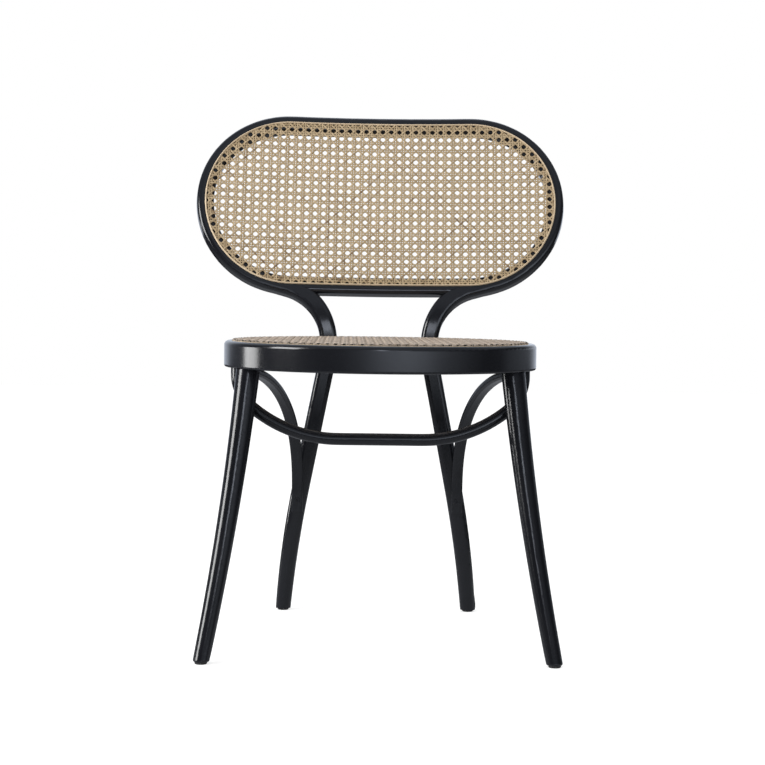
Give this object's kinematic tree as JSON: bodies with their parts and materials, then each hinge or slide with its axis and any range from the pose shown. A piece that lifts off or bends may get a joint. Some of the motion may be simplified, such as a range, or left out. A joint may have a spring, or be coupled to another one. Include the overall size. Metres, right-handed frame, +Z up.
{
  "type": "bentwood dining chair",
  "caption": "Armless bentwood dining chair with a round caned seat, a caned oval back on a continuous rear bow, a bent front stretcher and side braces.",
  "frame": {"origin": "on the floor, under the middle of the chair's overall width and depth", "axes": "+Z up; -Y is the way a sitter faces; +X to the right as seen from the front; the chair is symmetric about X = 0"},
  "size_m": [0.6068, 0.5842, 0.8167],
  "materials": {
    "lacquered_wood": "satin black lacquer",
    "cane": "natural cane",
    "steel": "zinc plated",
    "dowel_wood": "raw beech",
    "glide_plastic": "matt"
  },
  "bodies": {
    "root": {"rear_bow": "lacquered_wood", "back_rail": "lacquered_wood", "back_cane": "cane", "back_spline": "cane", "seat_ring": "lacquered_wood", "seat_cane": "cane", "seat_spline": "cane", "front_leg_left": "lacquered_wood", "front_leg_right": "lacquered_wood", "front_stretcher": "lacquered_wood", "brace_left": "lacquered_wood", "brace_right": "lacquered_wood", "seat_bolts": "steel", "seat_washers": "steel", "seat_nuts": "steel", "brace_leg_screws": "steel", "brace_seat_screws": "steel", "stretcher_leg_screws": "steel", "stretcher_dowels": "dowel_wood", "rail_dowels": "dowel_wood", "glide_front_left": "glide_plastic", "glide_front_right": "glide_plastic", "glide_rear_left": "glide_plastic", "glide_rear_right": "glide_plastic"}
  },
  "joints": []
}
